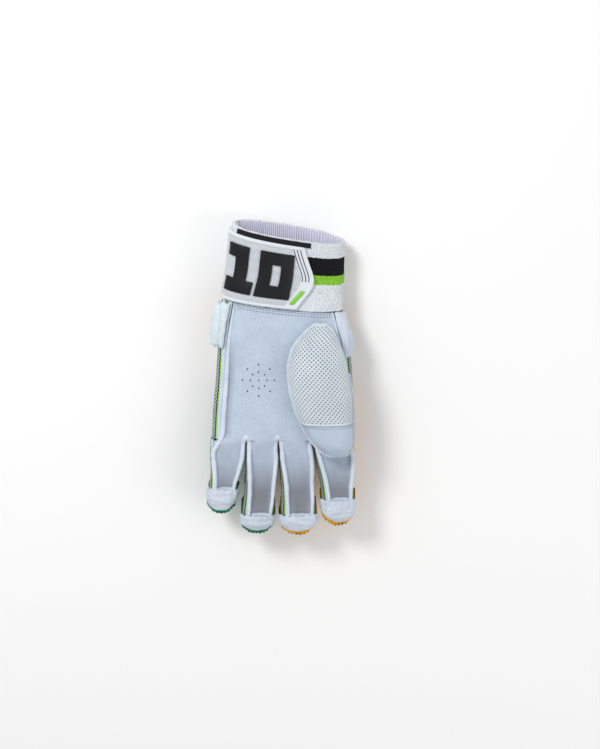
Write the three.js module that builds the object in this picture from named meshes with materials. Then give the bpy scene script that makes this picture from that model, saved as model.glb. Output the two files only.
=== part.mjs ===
import * as THREE from "three";

// A left-hand cricket batting glove lying on its padded back, palm up
// X runs to the thumb side, Y to the cuff and Z up from the surface that it lies on

// Cuff sizes, inside the towelling
const CUFF_LENGTH = 68;
const CUFF_WIDTH = 105;
const CUFF_DEPTH = 38;
const CUFF_RISE = 2;

// Hand sizes, inside the leather and the back fabric
const PALM_LENGTH = 130;
const HAND_WIDTH = 133;
const HAND_DEPTH = 28;

// Finger and thumb sizes
const LITTLE_LENGTH = 65;
const RING_LENGTH = 85;
const MIDDLE_LENGTH = 86;
const INDEX_LENGTH = 77;
const FINGER_DEPTH = 24;
const FINGER_CURL = 12;
const THUMB_LENGTH = 124;
const THUMB_WIDTH = 55;
const THUMB_DEPTH = 22;

// Walls and padding
const TOWEL = 3;
const LINING = 1.2;
const LEATHER = 1.8;
const BACK_FABRIC = 2.4;
const STALL_FABRIC = 1.8;
const TOE_LEATHER = 1.8;
const THUMB_PADDING = 4;
const BACK_PADDING = 20;
const ROLL_PADDING = 19;
const TIP_PADDING = 8;
const HEEL_PADDING = 9;
const EAR_PADDING = 3;
const SEAM_RIDGE = 2.2;
const CUFF_PADDING = 5;
const PRESSED = 1.25;

// Closure strap
const STRAP_LENGTH = 132;
const STRAP_THICKNESS = 2.6;
const STRAP_TIP_X = 28;
const STRAP_INSET = 6;
const STRAP_MARGIN = 2;
const PATCH_THICKNESS = 1;
const RELIEF = 1.4;
const FIGURE_HEIGHT = 44;
const FIGURE_WIDTH = 32;
const FIGURE_STROKE = 12;
const FIGURE_SERIF = 7;
const FIGURE_SPACE = 3;
const FIGURE_START = 22;
const BAR_WIDTH = 4;
const BAR_INSET = 4.5;

// The gaps that sewn pieces keep: edge to edge, and where one is laid over a curve
const CLEARANCE = 0.3;
const LAID_GAP = 0.6;
const TIP_GAP = 1.2;
const FINGER_SPACE = 1;

// Levels of the inner faces above the surface
const CUFF_LEVEL = CUFF_PADDING + LAID_GAP + TOWEL + CUFF_RISE;
const HAND_LEVEL = BACK_PADDING + LAID_GAP + BACK_FABRIC;

// Cross-sections from rim to finger roots: lengths are shares of the named sizes, and yaw, slant
// and roll turn a section about Z, lean it along Y and turn it about Y
const BODY = [
  { name: "rim", cuff: 0, hand: 0, shift: 0.045, wideCuff: 1.0, wideHand: 0, deepCuff: 1.0, deepHand: 0,
    lowCuff: 1, lowHand: 0, yaw: 13, slant: 0.28, roll: 11, square: 2.3 },
  { name: "waist", cuff: 0.5, hand: 0, shift: 0.034, wideCuff: 1.02, wideHand: 0, deepCuff: 0.97, deepHand: 0,
    lowCuff: 1, lowHand: 0, yaw: 11.5, slant: 0.28, roll: 8, square: 2.3 },
  { name: "heel", cuff: 1, hand: 0, shift: 0.002, wideCuff: 0.5, wideHand: 0.42, deepCuff: 0.45, deepHand: 0.55,
    lowCuff: 0.5, lowHand: 0.5, yaw: 7, slant: 0.24, roll: 3, square: 2.4 },
  { name: "ball", cuff: 1, hand: 0.25, shift: 0.01, wideCuff: 0, wideHand: 0.92, deepCuff: 0, deepHand: 1.05,
    lowCuff: 0, lowHand: 1, yaw: 3, slant: 0.12, roll: 0, square: 2.5 },
  { name: "palm", cuff: 1, hand: 0.55, shift: 0.01, wideCuff: 0, wideHand: 0.96, deepCuff: 0, deepHand: 1,
    lowCuff: 0, lowHand: 1, yaw: 1, slant: 0.04, roll: 0, square: 2.7 },
  { name: "knuckles", cuff: 1, hand: 0.8, shift: 0, wideCuff: 0, wideHand: 0.99, deepCuff: 0, deepHand: 1,
    lowCuff: 0, lowHand: 1, yaw: 0, slant: 0, roll: 0, square: 2.9 },
  { name: "roots", cuff: 1, hand: 1, shift: -0.006, wideCuff: 0, wideHand: 1, deepCuff: 0, deepHand: 1,
    lowCuff: 0, lowHand: 1, yaw: 0, slant: 0, roll: 0, square: 3 },
];

// Fingers: left and right sides at root and tip as shares of the hand's width, from its middle
const FINGERS = [
  { name: "little", length: LITTLE_LENGTH, left: -0.53, right: -0.262, tipLeft: -0.575, tipRight: -0.335,
    capFrom: 0.7, colour: 0x0e8a63 },
  { name: "ring", length: RING_LENGTH, left: -0.262, right: -0.036, tipLeft: -0.335, tipRight: -0.045,
    capFrom: 0.77, colour: 0x0e8a63 },
  { name: "middle", length: MIDDLE_LENGTH, left: -0.036, right: 0.208, tipLeft: -0.045, tipRight: 0.272,
    capFrom: 0.77, colour: 0xfdb913 },
  { name: "index", length: INDEX_LENGTH, left: 0.208, right: 0.52, tipLeft: 0.272, tipRight: 0.545,
    capFrom: 0.72, colour: 0xfdb913 },
];

// Sections along one finger: rise as a share of the curl, slim as a share of the toe leather's seat,
// the turns of the palm strip's two seams and how deep it sinks between them as a share of the depth
const STALL = [
  { at: 0, rise: 0, slim: 0, deepHand: 1, deepFinger: 0, seamLeft: 38, seamRight: 38, channel: 0.03 },
  { at: 0.25, rise: 0.05, slim: 0, deepHand: 0.2, deepFinger: 0.8, seamLeft: 54, seamRight: 38, channel: 0.2 },
  { at: 0.5, rise: 0.28, slim: 1, deepHand: 0, deepFinger: 1, seamLeft: 62, seamRight: 40, channel: 0.28 },
  { at: 0.75, rise: 0.62, slim: 1, deepHand: 0, deepFinger: 0.95, seamLeft: 64, seamRight: 42, channel: 0.22 },
  { at: 1, rise: 1, slim: 1, deepHand: 0, deepFinger: 0.8, seamLeft: 60, seamRight: 46, channel: 0.1 },
];

// Thumb sections from root to tip: widths, side shift, lift off the palm and heights as shares
const THUMB = [
  { at: 0, wide: 0.12, shift: 0.03, lift: 0, high: 0.1, low: 0.06 },
  { at: 0.025, wide: 0.34, shift: 0.02, lift: 0.03, high: 0.26, low: 0.12 },
  { at: 0.07, wide: 0.5, shift: 0, lift: 0.1, high: 0.42, low: 0.22 },
  { at: 0.15, wide: 0.75, shift: -0.05, lift: 0.3, high: 0.6, low: 0.3 },
  { at: 0.28, wide: 0.94, shift: -0.05, lift: 0.75, high: 0.74, low: 0.32 },
  { at: 0.45, wide: 1, shift: 0, lift: 1, high: 0.78, low: 0.32 },
  { at: 0.6, wide: 0.95, shift: 0.06, lift: 1, high: 0.74, low: 0.32 },
  { at: 0.74, wide: 0.82, shift: 0.12, lift: 1, high: 0.68, low: 0.32 },
  { at: 0.88, wide: 0.66, shift: 0.22, lift: 1, high: 0.6, low: 0.3 },
  { at: 0.96, wide: 0.44, shift: 0.29, lift: 1, high: 0.42, low: 0.24 },
  { at: 1, wide: 0.16, shift: 0.31, lift: 1, high: 0.14, low: 0.12 },
];
const THUMB_X = 0.262;
const THUMB_START = 0.14;
const THUMB_SEAM = 0.735;
const THUMB_BACK_START = 0.36;
const THUMB_HOLE = { half: 0.28, from: 0.1, to: 0.34 };

// Back-of-hand pads: places as shares of the palm's length, sides as shares of the half width
const BACK_PADS = [
  { name: "wrist_pad", from: 0.03, to: 0.3, left: -0.94, right: 0.94, columns: 10, colour: 0xfdb913 },
  { name: "back_pad_outer", from: 0.33, to: 0.66, left: -0.96, right: -0.03, columns: 6, colour: 0xf2f2f0 },
  { name: "back_pad_inner", from: 0.33, to: 0.66, left: 0.03, right: 0.96, columns: 6, colour: 0xf2f2f0 },
];

// Each finger's rolls along its back, as shares of its length
const ROLLS = [
  { name: "lower", from: 0.02, to: 0.34 },
  { name: "middle", from: 0.37, to: 0.66 },
];
const KNUCKLE_FROM = 0.7;
const KNUCKLE_TO = 0.985;
const TIP_FROM = 0.6;
const NOSE_FROM = 0.8;
const CAP_TO = 0.99;
const WALL_TO = 0.97;
const WALL_ROWS = 8;
const NOSE_TURN = 82;
const SEAM_TURN = 3;
const CAP_TURNS = { left: 170, right: 4 };
const TIP_TURNS = { left: 180, right: 352 };
const TIP_EDGE = 0.35;
const STALL_SQUARE = 2.8;
const SEAT_SHARE = 0.78;

const RAD = Math.PI / 180;
const lerp = THREE.MathUtils.lerp;

// One row of a table at a place between its rows, eased so that lofts stay smooth
function row(table, at, key = "at") {
  let i = 0;
  while (i < table.length - 2 && table[i + 1][key] < at) {
    i += 1;
  }
  const from = table[i];
  const to = table[i + 1];
  const share = THREE.MathUtils.clamp((at - from[key]) / (to[key] - from[key]), 0, 1);
  const eased = share * share * (3 - 2 * share);
  const mix = lerp(share, eased, 0.4);
  const result = {};
  for (const name of Object.keys(from)) {
    result[name] = typeof from[name] === "number" ? lerp(from[name], to[name], mix) : from[name];
  }
  return result;
}

// A point of an oval whose corners are squarer than an ellipse's
function oval(turn, halfWidth, halfDepth, square) {
  const c = Math.cos(turn * RAD);
  const s = Math.sin(turn * RAD);
  return [
    halfWidth * Math.sign(c) * Math.abs(c) ** (2 / square),
    halfDepth * Math.sign(s) * Math.abs(s) ** (2 / square),
  ];
}

// Distances from the rim of each named cross-section
for (const section of BODY) {
  section.down = section.cuff * CUFF_LENGTH + section.hand * PALM_LENGTH;
}

function bodySection(down) {
  const s = row(BODY, down, "down");
  return {
    ...s,
    halfWidth: (s.wideCuff * CUFF_WIDTH + s.wideHand * HAND_WIDTH) / 2,
    halfDepth: (s.deepCuff * CUFF_DEPTH + s.deepHand * HAND_DEPTH) / 2,
    outerHalf: (s.wideCuff * CUFF_WIDTH + s.wideHand * HAND_WIDTH) / 2 + BACK_FABRIC,
    middle: s.shift * HAND_WIDTH,
    bottom: s.lowCuff * CUFF_LEVEL + s.lowHand * HAND_LEVEL,
  };
}

// The inner face of cuff and hand: turn 90 is the palm side, 180 the little finger's side
function body(turn, down) {
  const s = bodySection(down);
  const [flatX, flatZ] = oval(turn, s.halfWidth, s.halfDepth, s.square);
  const x = flatX * Math.cos(s.roll * RAD) + flatZ * Math.sin(s.roll * RAD);
  const z = flatZ * Math.cos(s.roll * RAD) - flatX * Math.sin(s.roll * RAD);
  return new THREE.Vector3(
    s.middle + x * Math.cos(s.yaw * RAD),
    -down - x * Math.sin(s.yaw * RAD) - z * s.slant,
    s.bottom + s.halfDepth + z,
  );
}

// The turn on the palm side whose point lies at this share of the half width
function palmTurn(share, square) {
  return Math.acos(Math.sign(share) * Math.abs(share) ** (square / 2)) / RAD;
}

const ROOT_DOWN = CUFF_LENGTH + PALM_LENGTH;
const noseLength = (finger) => 0.3 * (finger.right - finger.left) * HAND_WIDTH;

// A finger's section: beyond NOSE_FROM the sections close over the fingertip
function stallSection(finger, share) {
  const nose = noseLength(finger);
  const lean = Math.max(0, (share - NOSE_FROM) / (1 - NOSE_FROM)) * NOSE_TURN * RAD;
  const reach = Math.min(share / NOSE_FROM, 1) * (finger.length - nose) + nose * Math.sin(lean);
  const s = row(STALL, reach / finger.length);
  const left = lerp(finger.left, finger.tipLeft, reach / finger.length) * HAND_WIDTH + FINGER_SPACE / 2;
  const right = lerp(finger.right, finger.tipRight, reach / finger.length) * HAND_WIDTH - FINGER_SPACE / 2;
  return {
    ...s,
    reach,
    left,
    right,
    middle: (left + right) / 2,
    outerHalf: (right - left) / 2,
    halfWidth: (right - left) / 2 - STALL_FABRIC - s.slim * (TOE_LEATHER + LAID_GAP),
    halfDepth: (s.deepHand * HAND_DEPTH + s.deepFinger * FINGER_DEPTH) / 2,
    square: STALL_SQUARE,
    close: Math.cos(lean) ** 0.7,
  };
}

// The inner face of a finger stall
function stall(finger, turn, share) {
  const s = stallSection(finger, share);
  const [x, z] = oval(turn, s.halfWidth, s.halfDepth, s.square);
  return new THREE.Vector3(
    s.middle + x * s.close,
    -ROOT_DOWN - CLEARANCE - s.reach,
    HAND_LEVEL + s.rise * FINGER_CURL + s.halfDepth + z * s.close,
  );
}

// The thumb's inner face, laid over the palm; turns under 180 face up
const thumbPlace = (at) => -CUFF_LENGTH - THUMB_START * PALM_LENGTH - at * THUMB_LENGTH;
function thumb(turn, share) {
  const at = 0.5 - Math.cos(share * Math.PI) / 2;
  const s = row(THUMB, at);
  const up = turn < 180 && turn > 0;
  const height = (up ? s.high : s.low) * THUMB_DEPTH;
  const [x, z] = oval(turn, s.wide * THUMB_WIDTH / 2, height, 2.2);
  const hand = bodySection(-thumbPlace(at));
  const palmTop = hand.bottom + 2 * hand.halfDepth + LEATHER + LAID_GAP;
  const middle = palmTop + s.lift * (THUMB_PADDING + s.low * THUMB_DEPTH) + LEATHER * (1 - s.lift);
  return new THREE.Vector3(
    THUMB_X * HAND_WIDTH + s.shift * THUMB_WIDTH + x,
    thumbPlace(at),
    middle + z,
  );
}

// A point moved out from a surface, square to it
function lift(surface, u, v, distance, stepU = 0.5, stepV = 0.004) {
  const point = surface(u, v);
  const across = surface(u + stepU, v).sub(surface(u - stepU, v));
  const along = surface(u, v + stepV).sub(surface(u, v - stepV));
  const normal = across.cross(along).normalize();
  return point.addScaledVector(normal, distance);
}

const onBody = (turn, down, distance) => lift(body, turn, down, distance, 0.5, 0.5);
const onStall = (finger) => (turn, share, distance) => {
  const point = lift((u, v) => stall(finger, u, v), turn, share, distance, 0.5, 0.002);
  const s = stallSection(finger, share);
  point.x = THREE.MathUtils.clamp(point.x, s.left, s.right);
  return point;
};
const onThumb = (turn, share, distance) => lift(thumb, turn, share, distance, 0.5, 0.002);

// A closed solid over a grid: place gives its inner corners for side 0 and its outer for side 1
function slab(columns, rows, place, { wrap = false, keep = () => true } = {}) {
  const ring = wrap ? columns : columns + 1;
  const corners = new Map();
  const positions = [];
  const faces = [];
  const corner = (i, j, side) => {
    const key = `${i % ring} ${j} ${side}`;
    if (!corners.has(key)) {
      const p = place((i % ring) / columns, j / rows, side);
      corners.set(key, positions.length / 3);
      positions.push(p.x, p.y, p.z);
    }
    return corners.get(key);
  };
  const quad = (a, b, c, d) => faces.push(a, b, c, a, c, d);
  const kept = (i, j) => {
    const column = wrap ? (i + columns) % columns : i;
    return column >= 0 && column < columns && j >= 0 && j < rows && keep(column, j);
  };
  for (let j = 0; j < rows; j += 1) {
    for (let i = 0; i < columns; i += 1) {
      if (!kept(i, j)) {
        continue;
      }
      const at = (di, dj, side) => corner(i + di, j + dj, side);
      quad(at(0, 0, 1), at(1, 0, 1), at(1, 1, 1), at(0, 1, 1));
      quad(at(0, 0, 0), at(0, 1, 0), at(1, 1, 0), at(1, 0, 0));
      if (!kept(i, j - 1)) {
        quad(at(0, 0, 0), at(1, 0, 0), at(1, 0, 1), at(0, 0, 1));
      }
      if (!kept(i, j + 1)) {
        quad(at(1, 1, 0), at(0, 1, 0), at(0, 1, 1), at(1, 1, 1));
      }
      if (!kept(i - 1, j)) {
        quad(at(0, 1, 0), at(0, 0, 0), at(0, 0, 1), at(0, 1, 1));
      }
      if (!kept(i + 1, j)) {
        quad(at(1, 0, 0), at(1, 1, 0), at(1, 1, 1), at(1, 0, 1));
      }
    }
  }
  const geometry = new THREE.BufferGeometry();
  geometry.setAttribute("position", new THREE.Float32BufferAttribute(positions, 3));
  geometry.setIndex(signedVolume(positions, faces) < 0 ? faces.reverse() : faces);
  geometry.computeVertexNormals();
  return geometry;
}

function signedVolume(positions, faces) {
  let volume = 0;
  const corner = (k) => new THREE.Vector3().fromArray(positions, faces[k] * 3);
  for (let k = 0; k < faces.length; k += 3) {
    volume += corner(k).dot(corner(k + 1).cross(corner(k + 2)));
  }
  return volume;
}

const glove = new THREE.Group();

function add(name, geometry, colour, roughness = 0.8) {
  const material = new THREE.MeshStandardMaterial({ color: colour, roughness, metalness: 0 });
  const mesh = new THREE.Mesh(geometry, material);
  mesh.name = name;
  glove.add(mesh);
  return mesh;
}

const WHITE_LEATHER = 0xd9dee8;
const TOWEL_WHITE = 0xeceff4;
const BLACK = 0x14141c;
const LIME = 0x8cd63a;

// Pads take their rows closer together at the sewn edges, where they round over
const spread = (share) => 0.5 - Math.cos(Math.PI * share) / 2;

// How far a pad swells at a place on it, from its thin sewn edge to its full middle
function swell(u, v, edge) {
  const domed = Math.sin(Math.PI * u) ** 0.5 * Math.sin(Math.PI * v) ** 0.5;
  return edge + (1 - edge) * domed;
}

// A point kept on or above the surface that the glove lies on
function rest(point) {
  point.z = Math.max(point.z, 0);
  return point;
}

// Padded piece over a surface, between two turns and two places along it
function pad(onSurface, span, seat, thickness, columns, rows, edge = 0.2) {
  return slab(columns, rows, (u, v, side) => {
    const turn = lerp(span.start, span.end, u);
    const place = lerp(span.from, span.to, spread(v));
    const height = side === 0 ? 0 : thickness * swell(u, v, edge);
    return rest(onSurface(turn, place, seat + height));
  });
}

// A deep pad hung straight down from the back: its sides stand at shares of the section's half width
function bun(onSurface, sectionAt, span, seat, thickness, columns, rows) {
  const edge = 0.2;
  return slab(columns, rows, (u, v, side) => {
    const place = lerp(span.from, span.to, spread(v));
    const s = sectionAt(place);
    const share = lerp(span.left, span.right, spread(u));
    const point = onSurface(360 - palmTurn(share * SEAT_SHARE, s.square), place, seat);
    if (side === 1) {
      point.x = s.middle + share * s.outerHalf;
      point.z -= thickness * swell(u, v, edge);
    }
    return rest(point);
  });
}

// Towelling wristband and its rib-knit lining
function addWristband() {
  const end = CUFF_LENGTH - CLEARANCE;
  const band = (inner, outer, from, rows) => slab(30, rows, (u, v, side) =>
    onBody(u * 360, lerp(from, end, v), side === 0 ? inner : outer), { wrap: true });
  add("wristband", band(0, TOWEL, 0, 7), TOWEL_WHITE, 0.95);
  add("lining", band(-LAID_GAP - LINING, -LAID_GAP, 1, 3), 0xe2e0f2, 0.9);
}

// The back of the cuff: one smooth padded panel
function addCuffPanel() {
  const start = strapTurn(STRAP_LENGTH + LAID_GAP);
  const span = { start, end: 336, from: 7, to: CUFF_LENGTH - 3 };
  add("cuff_panel", pad(onBody, span, TOWEL + LAID_GAP, CUFF_PADDING, 10, 4, 0.5), 0xf2f0e8, 0.6);
}

// Palm leather with its four finger strips, one sheet with a slit for the thumb
const STRIP_COLUMNS = 5;
const PALM_ROWS = 8;
const STRIP_ROWS = 6;
const PALM_EDGE = 0.86;
function palmEdgeTurn(down) {
  return palmTurn(PALM_EDGE, bodySection(down).square);
}

function addPalm() {
  const columns = FINGERS.length * (STRIP_COLUMNS + 1) - 1;
  const span = FINGERS.at(-1).right - FINGERS[0].left;
  const middle = (FINGERS.at(-1).right + FINGERS[0].left) / 2;
  const strip = (i) => Math.min(Math.floor(i / (STRIP_COLUMNS + 1)), FINGERS.length - 1);
  const local = (i) => (i - strip(i) * (STRIP_COLUMNS + 1)) / STRIP_COLUMNS;
  const acrossHand = (i) => {
    const finger = FINGERS[strip(i)];
    const inset = 0.012;
    const share = lerp(finger.left + inset, finger.right - inset, local(i));
    return ((share - middle) / (span / 2)) * PALM_EDGE;
  };
  const place = (u, v, side) => {
    const i = Math.round(u * columns);
    const j = Math.round(v * (PALM_ROWS + STRIP_ROWS));
    const out = side === 0 ? 0 : LEATHER;
    if (j <= PALM_ROWS) {
      const down = lerp(CUFF_LENGTH + CLEARANCE, ROOT_DOWN, j / PALM_ROWS);
      return onBody(palmTurn(acrossHand(i), bodySection(down).square), down, out);
    }
    const finger = FINGERS[strip(i)];
    const share = lerp(0.03, finger.capFrom - 0.01, (j - PALM_ROWS - 1) / (STRIP_ROWS - 1));
    const s = stallSection(finger, share);
    const turn = lerp(180 - s.seamLeft, s.seamRight, local(i));
    const point = onStall(finger)(turn, share, out);
    const sunk = 1 - (2 * local(i) - 1) ** 2;
    point.z -= s.channel * FINGER_DEPTH * sunk;
    return point;
  };
  const hole = (i, j) => {
    const corner = (di, dj) => place((i + di) / columns, (j + dj) / (PALM_ROWS + STRIP_ROWS), 0);
    const cell = corner(0, 0).lerp(corner(1, 1), 0.5);
    const inside = Math.abs(cell.x - THUMB_X * HAND_WIDTH) < THUMB_HOLE.half * THUMB_WIDTH;
    return inside && cell.y < thumbPlace(THUMB_HOLE.from) && cell.y > thumbPlace(THUMB_HOLE.to);
  };
  const web = (i, j) => j >= PALM_ROWS && (i + 1) % (STRIP_COLUMNS + 1) === 0;
  const sheet = slab(columns, PALM_ROWS + STRIP_ROWS, place, { keep: (i, j) => !hole(i, j) && !web(i, j) });
  add("palm", sheet, WHITE_LEATHER, 0.6);
}

// The back of the hand: fabric from one palm seam round below to the other
function addHandBack() {
  const seam = 2.5;
  const from = CUFF_LENGTH + CLEARANCE;
  const shell = slab(16, 8, (u, v, side) => {
    const down = lerp(from, ROOT_DOWN - CLEARANCE, v);
    const edge = palmEdgeTurn(down);
    const turn = lerp(180 - edge + seam, 360 + edge - seam, u);
    return onBody(turn, down, side === 0 ? 0 : BACK_FABRIC);
  });
  add("hand_back", shell, 0x1b1b22, 0.85);
  for (const padRow of BACK_PADS) {
    const span = {
      ...padRow,
      from: CUFF_LENGTH + padRow.from * PALM_LENGTH,
      to: CUFF_LENGTH + padRow.to * PALM_LENGTH,
    };
    const seat = BACK_FABRIC + LAID_GAP;
    const geometry = bun(onBody, bodySection, span, seat, BACK_PADDING * PRESSED, padRow.columns, 5);
    add(padRow.name, geometry, padRow.colour, 0.6);
  }
}

// A knuckle pad at the root of each finger, on the back of the hand
function addKnuckle(finger) {
  const half = HAND_WIDTH / 2 + BACK_FABRIC;
  const span = {
    left: (finger.left * HAND_WIDTH + FINGER_SPACE / 2) / half,
    right: (finger.right * HAND_WIDTH - FINGER_SPACE / 2) / half,
    from: CUFF_LENGTH + KNUCKLE_FROM * PALM_LENGTH,
    to: CUFF_LENGTH + KNUCKLE_TO * PALM_LENGTH,
  };
  const seat = BACK_FABRIC + LAID_GAP;
  const geometry = bun(onBody, bodySection, span, seat, BACK_PADDING * PRESSED, 5, 5);
  add(`knuckle_${finger.name}`, geometry, finger.colour, 0.6);
}

// One finger: side walls and back as one trough, toe cap, two rolls and a tip roll
function addFinger(finger) {
  const onFinger = onStall(finger);
  const wall = slab(12, WALL_ROWS, (u, v, side) => {
    const share = v * WALL_TO;
    const s = stallSection(finger, share);
    const turn = lerp(180 - s.seamLeft + SEAM_TURN, 360 + s.seamRight - SEAM_TURN, u);
    const ridged = (u === 0 || u === 1) && share + WALL_TO / WALL_ROWS < finger.capFrom;
    const ridge = ridged ? SEAM_RIDGE * Math.min(share * WALL_ROWS / 2, 1) : 0;
    return onFinger(turn, share, ridge + (side === 0 ? 0 : STALL_FABRIC));
  });
  add(`stall_${finger.name}`, wall, 0x23232b, 0.85);

  const seat = STALL_FABRIC + LAID_GAP;
  const cap = slab(8, 5, (u, v, side) => {
    const turn = lerp(CAP_TURNS.left, CAP_TURNS.right, u);
    const share = lerp(finger.capFrom, CAP_TO, v);
    return onFinger(turn, share, seat + (side === 0 ? 0 : TOE_LEATHER));
  });
  add(`toe_cap_${finger.name}`, cap, WHITE_LEATHER, 0.6);

  for (const roll of ROLLS) {
    const span = { left: -1, right: 1, from: roll.from * NOSE_FROM, to: roll.to * NOSE_FROM };
    const sectionAt = (share) => stallSection(finger, share);
    const geometry = bun(onFinger, sectionAt, span, seat, ROLL_PADDING * PRESSED, 5, 5);
    add(`roll_${finger.name}_${roll.name}`, geometry, finger.colour, 0.6);
  }
  const tip = slab(8, 6, (u, v, side) => {
    const turn = lerp(TIP_TURNS.left, TIP_TURNS.right, u);
    const share = lerp(TIP_FROM, CAP_TO, spread(v));
    const height = side === 0 ? 0 : TIP_PADDING * swell(u, Math.min(v, 0.5), TIP_EDGE);
    return rest(onFinger(turn, share, STALL_FABRIC + TIP_GAP + height));
  });
  add(`tip_${finger.name}`, tip, finger.colour, 0.6);
}

// Thumb: mesh face and leather tip above, one padded piece below
function addThumb() {
  const sheet = (columns, rows, start, end, from, to, thickness) => slab(columns, rows, (u, v, side) =>
    onThumb(lerp(start, end, u), lerp(from, to, v), side === 0 ? 0 : thickness));
  const seam = Math.acos(1 - 2 * THUMB_SEAM) / Math.PI;
  const backStart = Math.acos(1 - 2 * THUMB_BACK_START) / Math.PI;
  add("thumb_mesh", sheet(10, 8, 178, 2, 0.04, seam - 0.004, LEATHER), TOWEL_WHITE, 0.85);
  add("thumb_tip", sheet(10, 5, 178, 2, seam, 0.97, LEATHER), WHITE_LEATHER, 0.6);
  add("thumb_back", sheet(8, 6, 358, 182, backStart, 0.97, THUMB_PADDING), WHITE_LEATHER, 0.6);
}

// The puffed roll at the little finger's side of the heel and the folded ear at the thumb's side
function addHeel() {
  const seat = BACK_FABRIC + LAID_GAP;
  const roll = { start: 148, end: 196, from: CUFF_LENGTH + 1, to: CUFF_LENGTH + 0.34 * PALM_LENGTH };
  add("heel_roll", pad(onBody, roll, seat, HEEL_PADDING, 8, 5), WHITE_LEATHER, 0.6);
  const ear = { start: -10, end: 32, from: CUFF_LENGTH + 1, to: CUFF_LENGTH + 0.36 * PALM_LENGTH };
  add("palm_ear", pad(onBody, ear, seat, EAR_PADDING, 6, 5), WHITE_LEATHER, 0.6);
}

const strapWidth = CUFF_LENGTH - STRAP_INSET - STRAP_MARGIN;

// Turns round the wristband at equal distances, measured from the strap's tip
function strapTurn(distance) {
  const down = STRAP_INSET + strapWidth / 2;
  const s = bodySection(down);
  const start = palmTurn((STRAP_TIP_X - s.middle) / s.halfWidth, s.square);
  const seat = TOWEL + LAID_GAP;
  const step = 1.5;
  let turn = start;
  let length = 0;
  let last = onBody(turn, down, seat);
  while (length < distance) {
    const next = onBody(turn + step, down, seat);
    const stride = next.distanceTo(last);
    if (length + stride > distance) {
      return turn + step * (distance - length) / stride;
    }
    length += stride;
    turn += step;
    last = next;
  }
  return turn;
}

// The strap's pointed end: how far back its edge lies at each share of the width
const STRAP_TIP = [
  { at: 0, back: 0.1 },
  { at: 0.56, back: 0 },
  { at: 1, back: 0.105 },
];

function onStrap(distance, across, height) {
  return onBody(strapTurn(distance), STRAP_INSET + across * strapWidth, TOWEL + LAID_GAP + height);
}

function addStrap() {
  const strap = slab(22, 6, (u, v, side) => {
    const tip = row(STRAP_TIP, v).back * STRAP_LENGTH;
    return onStrap(lerp(tip, STRAP_LENGTH, u), v, side === 0 ? 0 : STRAP_THICKNESS);
  });
  add("strap", strap, 0xf0f2f2, 0.5);

  // The dark fastening strip shows as a line above the strap's upper edge
  const strip = slab(10, 1, (u, v, side) => {
    const distance = lerp(0.05, 0.6, u) * STRAP_LENGTH;
    const down = lerp(STRAP_INSET - 5, STRAP_INSET - CLEARANCE, v);
    const out = side === 0 ? 0 : PATCH_THICKNESS;
    return onBody(strapTurn(distance), down, TOWEL + LAID_GAP + out);
  });
  add("fastening_strip", strip, BLACK, 0.95);
}

// Raised figures one and nought, each a grid of cells with some left out
const NOUGHT = { cells: ["xxx", "x.x", "x.x", "x.x", "xxx"], side: FIGURE_STROKE,
  middle: FIGURE_WIDTH - 2 * FIGURE_STROKE };
const ONE = { cells: ["xx.", ".x.", ".x.", ".x.", "xxx"], side: FIGURE_SERIF, middle: FIGURE_STROKE };
const figureWidth = (figure) => 2 * figure.side + figure.middle;
function addFigure(name, figure, from) {
  const width = figureWidth(figure);
  const columns = [figure.side / 2, figure.side / 2, figure.middle / 2, figure.middle / 2, figure.side / 2];
  const across = columns.reduce((list, step) => [...list, list.at(-1) + step], [0]).concat(width);
  const inner = FIGURE_HEIGHT - 2 * FIGURE_STROKE;
  const along = [0, FIGURE_STROKE, FIGURE_STROKE + inner / 3, FIGURE_STROKE + inner * 2 / 3,
    FIGURE_STROKE + inner, FIGURE_HEIGHT];
  const top = (strapWidth - FIGURE_HEIGHT) / 2;
  const geometry = slab(6, 5, (u, v, side) => {
    const distance = from + width - across[Math.round(u * 6)];
    const share = (top + along[Math.round(v * 5)]) / strapWidth;
    const height = STRAP_THICKNESS + CLEARANCE + (side === 0 ? 0 : RELIEF);
    return onStrap(distance, share, height);
  }, { keep: (i, j) => figure.cells[j][Math.floor(i / 2)] === "x" });
  add(name, geometry, BLACK, 0.25);
}

function addStrapRelief() {
  addFigure("figure_nought", NOUGHT, FIGURE_START);
  addFigure("figure_one", ONE, FIGURE_START + figureWidth(NOUGHT) + FIGURE_SPACE);
  const bar = slab(2, 4, (u, v, side) => {
    const across = lerp(0.7, 0.93, v);
    const distance = row(STRAP_TIP, across).back * STRAP_LENGTH + BAR_INSET + u * BAR_WIDTH;
    const height = STRAP_THICKNESS + CLEARANCE + (side === 0 ? 0 : RELIEF / 2);
    return onStrap(distance, across, height);
  });
  add("strap_bar", bar, LIME, 0.4);
}

addWristband();
addCuffPanel();
addPalm();
addHandBack();
for (const finger of FINGERS) {
  addKnuckle(finger);
  addFinger(finger);
}
addThumb();
addHeel();
addStrap();
addStrapRelief();

// The origin is the middle of the part, level with the surface it lies on
const box = new THREE.Box3().setFromObject(glove, true);
const centre = box.getCenter(new THREE.Vector3());
glove.position.set(-centre.x, -centre.y, -box.min.z);

export default glove;
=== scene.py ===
import math

import bmesh
import bpy
import numpy as np
from mathutils import Matrix, Vector, noise
from mathutils.bvhtree import BVHTree


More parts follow.
